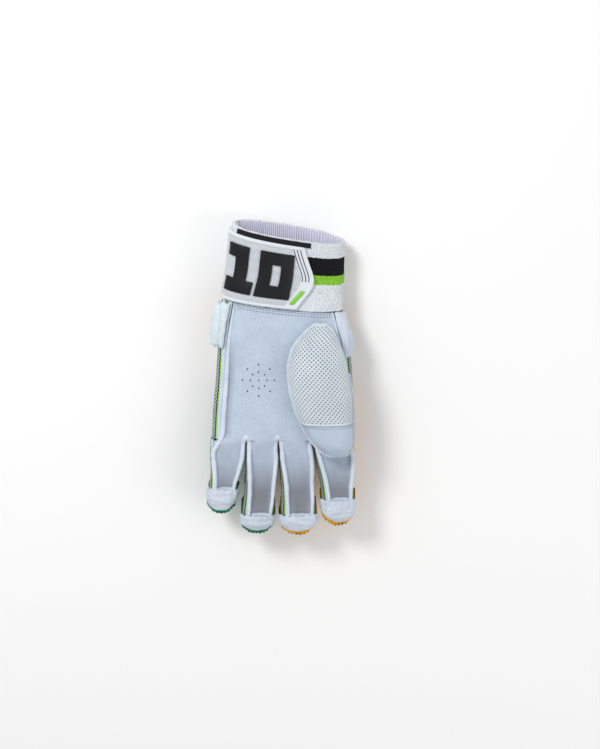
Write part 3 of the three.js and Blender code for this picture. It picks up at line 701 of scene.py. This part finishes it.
welt_leather = leather("welt_leather", (0.76, 0.83, 0.92), (0.63, 0.70, 0.80), 0.5, 900.0, 0.0002)
left_seams = {finger: shifted(seam_lines[finger][0], WELT_INSET, 0, WELT_LIFT) for finger in FINGERS}
right_seams = {finger: shifted(seam_lines[finger][1], -WELT_INSET, 0, WELT_LIFT) for finger in FINGERS}
welt_paths = []
for left, right in zip(FINGERS, FINGERS[1:]):
    up, down = right_seams[left][::-1], left_seams[right]
    top = on_palm((up[-1].x + down[0].x) / 2, ROOT_Y + CROTCH_RISE)[0] + Vector((0, 0, WELT_LIFT))
    shoulders = [end.lerp(top, 0.45) + Vector((0, 0, SHOULDER_LIFT)) for end in (up[-1], down[0])]
    welt_paths.append(up + [shoulders[0], top, shoulders[1]] + down)
welt_paths.append(shifted(back_corners[:, 0], BACK_INSET, 0, WELT_LIFT) + left_seams["little"][1:])
welt_paths.append(shifted(back_corners[:, -1], -BACK_INSET, 0, WELT_LIFT) + right_seams["index"][1:])
for number, path in enumerate(welt_paths, 1):
    add_cord(f"seam_welt_{number}", path, WELT_RADIUS, 0.0004, welt_leather)

folds = bmesh.new()
for finger in FINGERS:
    for line, inward in zip(seam_lines[finger], (FOLD_STEP, -FOLD_STEP)):
        places = [Vector(line[0]) + Vector((inward * k, 0.0002, 0.0005)) for k in range(7)]
        fold = tube([palm_surface.find_nearest(place)[0] for place in places], FOLD_RADIUS)
        fold_mesh = bpy.data.meshes.new("fold")
        fold.to_mesh(fold_mesh)
        folds.from_mesh(fold_mesh)
        fold.free()
        bpy.data.meshes.remove(fold_mesh)
add_piece("finger_root_folds", folds, palm_leather)

# Toe caps
# A pleated cap of the same white leather over each fingertip, drawn up in small folds at its seam,
# with a cord along that seam and gathered leather where the palm's strip ends.
CAP_PLEAT = 0.0007
CAP_PLEATS = 17
CAP_FOLD = 0.0012
CAP_FOLD_SIZES = (0.012, 0.0035, 0.012)
CAP_WELT_RADIUS = 0.0021
CAP_WELT_PAST = 0.0015
END_BALL_RADII = (0.0062, 0.0026, 0.0042)
cap_leather = leather("cap_leather", (0.76, 0.83, 0.92), (0.60, 0.67, 0.78), 0.5, 800.0, 0.0003)
gathers = bmesh.new()
for finger in FINGERS:
    cap = subdivided(node_copy(f"toe_cap_{finger}"), 3)
    low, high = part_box(f"toe_cap_{finger}")
    middle_x = (low.x + high.x) / 2
    for vert in cap.verts:
        down = (high.y - vert.co.y) / (high.y - low.y)
        turn = math.atan2(vert.co.x - middle_x, vert.co.z - low.z + 0.004)
        pleat = math.sin(turn * CAP_PLEATS + 2.2 * noise.noise(vert.co / 0.01)) * max(0.0, 1 - 1.5 * down)
        fold = creases(vert.co, CAP_FOLD_SIZES)
        vert.co += vert.normal * (CAP_PLEAT * pleat + CAP_FOLD * fold)
    piece = add_piece(f"toe_cap_leather_{finger}", cap, cap_leather, [f"toe_cap_{finger}"])
    strip = [v.co for v in palm_piece.data.vertices if low.x < v.co.x < high.x and v.co.y < high.y + 0.02]
    end_y = min(p.y for p in strip)
    ends = [p for p in strip if p.y < end_y + 0.0006]
    left, right = min(p.x for p in ends), max(p.x for p in ends)
    under = min(p.z for p in ends)
    rim = []
    for x in np.linspace(left - CAP_WELT_PAST, right + CAP_WELT_PAST, 13):
        seat = min(ends, key=lambda p: abs(p.x - x))
        rim.append(Vector((x, end_y - 0.0009, seat.z + 0.0004)))
    add_cord(f"cap_welt_{finger}", rim, CAP_WELT_RADIUS, 0.0005, cap_leather)
    add_ball(gathers, (middle_x, low.y + 0.0022, low.z + 0.0035), END_BALL_RADII, 20, 12)
    add_ball(gathers, ((left + right) / 2, end_y - 0.0034, (under + high.z) / 2),
             ((right - left) / 2 + 0.001, 0.0030, (high.z - under) / 2 - 0.0004), 28, 14)
gathers.normal_update()
add_piece("cap_gathers", rumpled(gathers, height=0.0006, size=0.003), cap_leather)

# Padding
# Rolls of foam and cotton wadding in dyed leather over the back of each finger, the knuckles, the
# wrist and the hand, quilted to the cloth beneath, with the fingertips' rolls overstitched by hand.
TAKEN_IN = 0.0008
PUFF_CAP = 0.0011
BLOWN_FRAMES = 20
SEWN_FACING = 0.35
LARGE_MESH, HEEL_MESH, SMALL_MESH = 0.0034, 0.0022, 0.0024
PAD_CREASE = 0.0005
PAD_CREASE_SIZES = (0.006, 0.018, 0.01)
HEEL_FOLD = 0.0030
HEEL_FOLDS = 6.5
TIP_PUSHED = 0.0014
TIP_ROWS = ((0.74, 0.0044, 58), (0.42, 0.0024, 0))
green_leather = leather("green_leather", (0.006, 0.27, 0.135), (0.003, 0.19, 0.09), 0.5, 900.0, 0.0003)
yellow_leather = leather("yellow_leather", (0.98, 0.50, 0.012), (0.84, 0.38, 0.006), 0.5, 900.0, 0.0003)
cuff_leather = leather("cuff_leather", (0.80, 0.80, 0.74), (0.70, 0.70, 0.64), 0.45, 700.0, 0.00025)
# Painted light: the heel roll gets a lighter version of the palm leather, for the light on its raised roll
lit_palm_leather = leather("lit_palm_leather", (0.82, 0.92, 0.96), (0.68, 0.78, 0.86), 0.5, 800.0, 0.0003)
PADS = [("wrist_pad", yellow_leather, "yellow_leather", LARGE_MESH),
        ("back_pad_outer", cuff_leather, "cuff_leather", LARGE_MESH),
        ("back_pad_inner", cuff_leather, "cuff_leather", LARGE_MESH),
        ("heel_roll", lit_palm_leather, "palm_leather", HEEL_MESH)]
for finger in FINGERS:
    dyed = (green_leather, "green_leather") if finger in FINGERS[:2] else (yellow_leather, "yellow_leather")
    for node in (f"knuckle_{finger}", f"roll_{finger}_lower", f"roll_{finger}_middle", f"tip_{finger}"):
        PADS.append((node, *dyed, SMALL_MESH))
forms = []
for node, _, _, mesh_size in PADS:
    rough = node_copy(node)
    for vert in rough.verts:
        vert.co -= vert.normal * TAKEN_IN
    mesh = bpy.data.meshes.new(f"{node}_form")
    rough.to_mesh(mesh)
    rough.free()
    form = bpy.data.objects.new(f"{node}_form", mesh)
    bpy.context.scene.collection.objects.link(form)
    remesh = form.modifiers.new("remesh", "REMESH")
    remesh.mode = "VOXEL"
    remesh.voxel_size = mesh_size
    even = bpy.data.meshes.new_from_object(form.evaluated_get(bpy.context.evaluated_depsgraph_get()))
    form.modifiers.clear()
    form.data = even
    bpy.data.meshes.remove(mesh)
    forms.append(form)
for form in forms:
    sewn_side = [v.index for v in form.data.vertices if v.normal.z > SEWN_FACING]
    form.vertex_groups.new(name="sewn_side").add(sewn_side, 1.0, "REPLACE")
    cloth = form.modifiers.new("cloth", "CLOTH")
    cloth.settings.quality = 4
    cloth.settings.mass = 0.15
    cloth.settings.vertex_group_mass = "sewn_side"
    cloth.settings.use_pressure = True
    cloth.settings.uniform_pressure_force = 4
    cloth.settings.effector_weights.gravity = 0
    cloth.point_cache.frame_end = BLOWN_FRAMES
for frame_number in range(1, BLOWN_FRAMES + 1):
    bpy.context.scene.frame_set(frame_number)
pad_surfaces = {}
for form, (node, material, slot, _) in zip(forms, PADS):
    blown = bmesh.new()
    blown.from_mesh(form.evaluated_get(bpy.context.evaluated_depsgraph_get()).data)
    for vert, rest in zip(blown.verts, form.data.vertices):
        moved = vert.co - rest.co
        if moved.length > PUFF_CAP:
            vert.co = rest.co + moved * (PUFF_CAP / moved.length)
    bmesh.ops.smooth_vert(blown, verts=blown.verts, factor=0.4,
                          use_axis_x=True, use_axis_y=True, use_axis_z=True)
    fine = subdivided(blown, 1, crease_from=179)
    low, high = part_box(node)
    for vert in fine.verts:
        vert.co += vert.normal * PAD_CREASE * creases(vert.co, PAD_CREASE_SIZES)
        if node == "heel_roll":
            across = (vert.co.x - low.x) / (high.x - low.x)
            bend = 1.2 * creases((0, vert.co.y, 2), (1, 0.025, 1))
            vert.co += vert.normal * HEEL_FOLD * (abs(math.sin(across * HEEL_FOLDS + bend)) ** 0.4 - 0.8)
        elif node.startswith("tip_"):
            vert.co.y -= TIP_PUSHED * max(0.0, -vert.normal.y)
        vert.co.z = max(vert.co.z, 0.0001)
    pad_surfaces[node] = BVHTree.FromBMesh(fine)
    piece = add_piece(f"{node}_stuffed", fine, material, [node], sharp_from=80)
    even = form.data
    bpy.data.objects.remove(form)
    bpy.data.meshes.remove(even)
bpy.context.scene.frame_set(1)

green_thread = leather("green_thread", (0.004, 0.08, 0.045), (0.003, 0.05, 0.03), 0.8, 2500.0, 0.0001)
black_thread = leather("black_thread", (0.012, 0.012, 0.016), (0.006, 0.006, 0.008), 0.8, 2500.0, 0.0001)
for colour, thread, fingers in (("green", green_thread, FINGERS[:2]), ("yellow", black_thread, FINGERS[2:])):
    threads = bmesh.new()
    for finger in fingers:
        low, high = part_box(f"tip_{finger}")
        for height, length, slant in TIP_ROWS:
            line = []
            for share in np.linspace(0.14, 0.86, 24):
                x = low.x + (high.x - low.x) * share
                y = low.y + (high.y - low.y) * (0.02 + 0.9 * abs(2 * share - 1) ** 2.6)
                line.append((x, y, low.z + (high.z - low.z) * height))
            sew(threads, pad_surfaces[f"tip_{finger}"], line, pitch=0.0036, length=length, width=0.0011,
                slanted=slant)
    add_piece(f"{colour}_overstitching", threads, thread)

# Cuff panel
# A cream leather panel behind the wrist, over thin foam and sewn to the towelling along its edge.
# It is creased like a fan where it bends.
FAN_REACH = 0.06
FAN_CREASES = 34
FAN_DEPTH = 0.0005
fan = subdivided(node_copy("cuff_panel"), 3)
low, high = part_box("cuff_panel")
for vert in fan.verts:
    turn = math.atan2(vert.co.x - (low.x + high.x) / 2, high.y + FAN_REACH - vert.co.y)
    crease = abs(math.sin(turn * FAN_CREASES + 1.5 * noise.noise(vert.co / 0.02)))
    vert.co += vert.normal * (FAN_DEPTH * crease - 0.0004 + 0.0003 * noise.noise(vert.co / 0.006))
piece = add_piece("cuff_panel_leather", fan, cuff_leather, ["cuff_panel"])

# Palm ear
# A fold of palm leather at the thumb side of the wrist, turned over the edge of the palm and sewn
# down along it, with long soft creases.
EAR_CREASE = 0.0013
EAR_CREASE_SIZES = (0.006, 0.022, 0.008)
ear = subdivided(node_copy("palm_ear"), 3)
for vert in ear.verts:
    vert.co += vert.normal * EAR_CREASE * creases(vert.co, EAR_CREASE_SIZES)
# Painted highlight: the fold is given the lighter cap leather rather than the palm leather, for the light
# along its ridge
piece = add_piece("palm_ear_fold", ear, cap_leather, ["palm_ear"])

# Strap
# Moulded white rubber band round the cuff, with a raised border, a fine chevron hatch, a plain
# number in gloss black, three pressed lines and a lime bar, closed on a black hook tape.
FRAME = 0.0026
FRAME_RISE = 0.00045
HATCH = 0.0024
CHEVRON = 0.0045
CUT_SHARE = 0.36
LINES = (0.0046, 0.0078, 0.0110)
LINE_HALF = 0.00055
LINES_TO = 0.034
HATCH_FROM = LINES[-1] + 0.0015
FIGURE_BEVEL = 0.0006
white_rubber, tree, shader = new_material("white_rubber", roughness=0.38)
edge, _ = attribute(tree, "edge")
_, on_flat = attribute(tree, "flat")
parts = tree.nodes.new("ShaderNodeSeparateXYZ")
tree.links.new(on_flat, parts.inputs["Vector"])
from_tip, down = parts.outputs["X"], parts.outputs["Y"]
chevron = math_node(tree, "PINGPONG", down, CHEVRON)
hatch = math_node(tree, "PINGPONG", math_node(tree, "ADD", from_tip, chevron), HATCH / 2)
hatch = math_node(tree, "DIVIDE", hatch, HATCH / 2)
field = math_node(tree, "GREATER_THAN", edge, FRAME)
pressed = None
for line in LINES:
    off = math_node(tree, "ABSOLUTE", math_node(tree, "SUBTRACT", from_tip, line))
    mark = math_node(tree, "LESS_THAN", off, LINE_HALF)
    pressed = mark if pressed is None else math_node(tree, "MAXIMUM", pressed, mark)
upper = math_node(tree, "LESS_THAN", down, LINES_TO)
pressed = math_node(tree, "MULTIPLY", math_node(tree, "MULTIPLY", pressed, upper), field)
clear = math_node(tree, "MULTIPLY", field, math_node(tree, "GREATER_THAN", from_tip, HATCH_FROM))
hatched = math_node(tree, "MULTIPLY", hatch, clear)
# Painted shade: the hatch's grooves are coloured a darker grey than the white rubber
groove = math_node(tree, "MULTIPLY", clear, math_node(tree, "LESS_THAN", hatch, CUT_SHARE))
plain = colour_mix(tree, groove, (0.70, 0.745, 0.79), (0.40, 0.44, 0.49))
tree.links.new(colour_mix(tree, pressed, plain, (0.10, 0.11, 0.13)), shader.inputs["Base Color"])
bump(tree, shader, math_node(tree, "SUBTRACT", hatched, math_node(tree, "MULTIPLY", pressed, 1.5)), 0.0004)

strap = node_copy("strap")
laid_out(strap, near=(0.028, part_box("strap")[1].y, 0.07), u_hint=(-1, 0, -0.3))
strap = subdivided(strap, 3)
flat = strap.verts.layers.float_vector["flat"]
width = max(v[flat].y for v in strap.verts)
edge_layer = strap.verts.layers.float.new("edge")
for vert in strap.verts:
    from_tip, down, _ = vert[flat]
    edge = min(down, width - down, 0.85 * from_tip)
    vert[edge_layer] = edge
    vert.co += vert.normal * FRAME_RISE * (1 - clamp((edge - FRAME + 0.0005) / 0.001))
add_piece("rubber_strap", strap, white_rubber, ["strap"], sharp_from=45)

black_gloss = leather("black_gloss", (0.008, 0.009, 0.012), (0.005, 0.005, 0.007), 0.3, 1600.0, 0.00003)
lime_gloss = leather("lime_gloss", (0.26, 0.68, 0.03), (0.20, 0.56, 0.02), 0.3, 1600.0, 0.00003)
for gloss in (black_gloss, lime_gloss):
    gloss.node_tree.nodes["Principled BSDF"].inputs["Specular IOR Level"].default_value = 0.3
for node, gloss, slot in (("figure_one", black_gloss, "black_rubber"),
                          ("figure_nought", black_gloss, "black_rubber"),
                          ("strap_bar", lime_gloss, "lime_rubber")):
    moulded = node_copy(node)
    sharp = [e for e in moulded.edges if e.calc_face_angle(0) > math.radians(50)]
    bmesh.ops.bevel(moulded, geom=sharp, offset=FIGURE_BEVEL, segments=3, affect="EDGES", profile=0.5,
                    material=-1)
    add_piece(f"{node}_moulded", moulded, gloss, [node], sharp_from=30)

hooked, tree, shader = new_material("hook_tape", roughness=0.9)
hooks, _ = use_group(tree, fibre, 1500.0)
black_hooks = colour_mix(tree, hooks, (0.003, 0.003, 0.004), (0.022, 0.022, 0.03))
tree.links.new(black_hooks, shader.inputs["Base Color"])
bump(tree, shader, hooks, 0.0008)
tape = rumpled(subdivided(node_copy("fastening_strip"), 3), height=0.0003, size=0.0012)
piece = add_piece("hook_tape", tape, hooked, ["fastening_strip"])

# Thumb
# A separate padded sleeve laid over the palm: white air mesh with staggered holes over a backing
# painted grey as shade in the holes, a smooth leather tip sewn across it in two rows, and a leather back.
MESH_CELL = 0.0021
MESH_YARN = 0.0005
MESH_HOLE_INSET = 0.00032
MESH_LIFT = 0.0003
BACKING_SUNK = 0.0004
TIP_ROW_INSETS = (0.0016, 0.0038)
SIDE_ROW_INSET = 0.0022
SIDE_SEAM_RADIUS = 0.0016
TIP_SEAM_RADIUS = 0.0010
GUSSET_INSET = 0.0030
GUSSET_DROP = 0.0036
GUSSET_RADIUS = 0.0036
GATHER_RADII = (0.0075, 0.0030, 0.0042)
backing = node_copy("thumb_mesh")
low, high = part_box("thumb_mesh")
thumb_corners = laid_out(backing, near=(low.x, high.y, 0.07), u_hint=(1, 0, 0))
backing = subdivided(backing, 2)
thumb_surface = BVHTree.FromBMesh(backing)
for vert in backing.verts:
    vert.co -= vert.normal * BACKING_SUNK
# Painted shade: the backing is grey where it shows through the mesh's holes
hole_shade_backing = leather("mesh_hole_shade", (0.30, 0.33, 0.38), (0.22, 0.24, 0.29), 0.9, 2200.0, 0.0003)
piece = add_piece("thumb_backing", backing, hole_shade_backing, ["thumb_mesh"])

# The net starts as a flat grid over the spread-out thumb, from its middle line to both sides
middle = thumb_corners.shape[1] // 2
spine = run_lengths(thumb_corners[:, middle])
girth = run_lengths(thumb_corners, axis=1)
girth -= girth[:, middle:middle + 1]
columns = int(2 * np.abs(girth).max() / MESH_CELL) // 2 * 2 + 2
rows = int(spine[-1] / MESH_CELL) + 1
spread = Matrix.Diagonal((columns * MESH_CELL, rows * MESH_CELL, 1, 1)) @ Matrix.Translation((0, 0.5, 0))
net = bmesh.new()
bmesh.ops.create_grid(net, x_segments=columns, y_segments=rows, size=0.5, matrix=spread)
holed = [face for face in net.faces
         if sum(round(c / MESH_CELL - 0.5) for c in face.calc_center_median()[:2]) % 2]
off_edge = []
for vert in net.verts:
    at = np.interp(min(vert.co.y, spine[-1]), spine, np.arange(len(spine)))
    row = min(int(at), len(spine) - 2)
    reach = girth[row] + (girth[row + 1] - girth[row]) * (at - row)
    points = thumb_corners[row] + (thumb_corners[row + 1] - thumb_corners[row]) * (at - row)
    if vert.co.x < reach[0] - MESH_CELL or vert.co.x > reach[-1] + MESH_CELL:
        off_edge.append(vert)
        continue
    place = Vector([float(np.interp(vert.co.x, reach, points[:, k])) for k in range(3)])
    seat, normal, _, _ = thumb_surface.find_nearest(place)
    vert.co = seat + normal * MESH_LIFT
bmesh.ops.delete(net, geom=off_edge, context="VERTS")
bmesh.ops.dissolve_degenerate(net, edges=net.edges, dist=0.00005)
holed = [face for face in holed if face.is_valid]
bmesh.ops.inset_individual(net, faces=holed, thickness=MESH_HOLE_INSET, depth=0)
bmesh.ops.delete(net, geom=holed, context="FACES")
net.normal_update()
bmesh.ops.solidify(net, geom=net.faces, thickness=-MESH_YARN)
mesh_yarn = leather("mesh_yarn", (0.84, 0.92, 0.97), (0.74, 0.82, 0.90), 0.75, 2000.0, 0.0002)
piece = add_piece("thumb_air_mesh", subdivided(net, 1, crease_from=179), mesh_yarn)

tip = rumpled(subdivided(node_copy("thumb_tip"), 3), height=0.0005, size=0.011)
tip_surface = BVHTree.FromBMesh(tip)
piece = add_piece("thumb_tip_leather", tip, palm_leather, ["thumb_tip"])
back = rumpled(subdivided(node_copy("thumb_back"), 3), height=0.0004, size=0.009)
piece = add_piece("thumb_back_leather", back, cap_leather, ["thumb_back"])

threads = bmesh.new()
for inset in TIP_ROW_INSETS:
    sew(threads, tip_surface, shifted(thumb_corners[-1], 0, -inset, 0.001),
        pitch=0.0021, length=0.0016, width=0.0007)
for column, inset in ((0, SIDE_ROW_INSET), (-1, -SIDE_ROW_INSET)):
    sew(threads, thumb_surface, shifted(thumb_corners[:, column], inset, 0, 0.001),
        pitch=0.0022, length=0.0021, width=0.0007, slanted=38)
add_piece("thumb_stitches", threads, grey_thread)
inner_side = shifted(thumb_corners[:, -1], -0.0016, 0, 0.0008)
border = [*thumb_corners[::-1, 0], *thumb_corners[0, 1:-1], *inner_side]
add_cord("thumb_seam", border, SIDE_SEAM_RADIUS, 0.0004, mesh_yarn)
add_cord("thumb_tip_seam", thumb_corners[-1], TIP_SEAM_RADIUS, 0.0003, mesh_yarn)

# Gussets and a gather of palm leather close the slot under the thumb's edge
for name, column, inset in (("thumb_gusset_outer", 0, GUSSET_INSET),
                            ("thumb_gusset_inner", -1, -GUSSET_INSET)):
    under_edge = shifted(thumb_corners[:-2, column], inset, 0, -GUSSET_DROP)
    add_cord(name, under_edge, GUSSET_RADIUS, 0.0004, palm_leather)
end = min((v.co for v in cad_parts["thumb_tip"].data.vertices), key=lambda p: p.y)
gather = bmesh.new()
add_ball(gather, (end.x, end.y + 0.0020, end.z - 0.0010), GATHER_RADII, 20, 12)
add_piece("thumb_gather", gather, palm_leather)
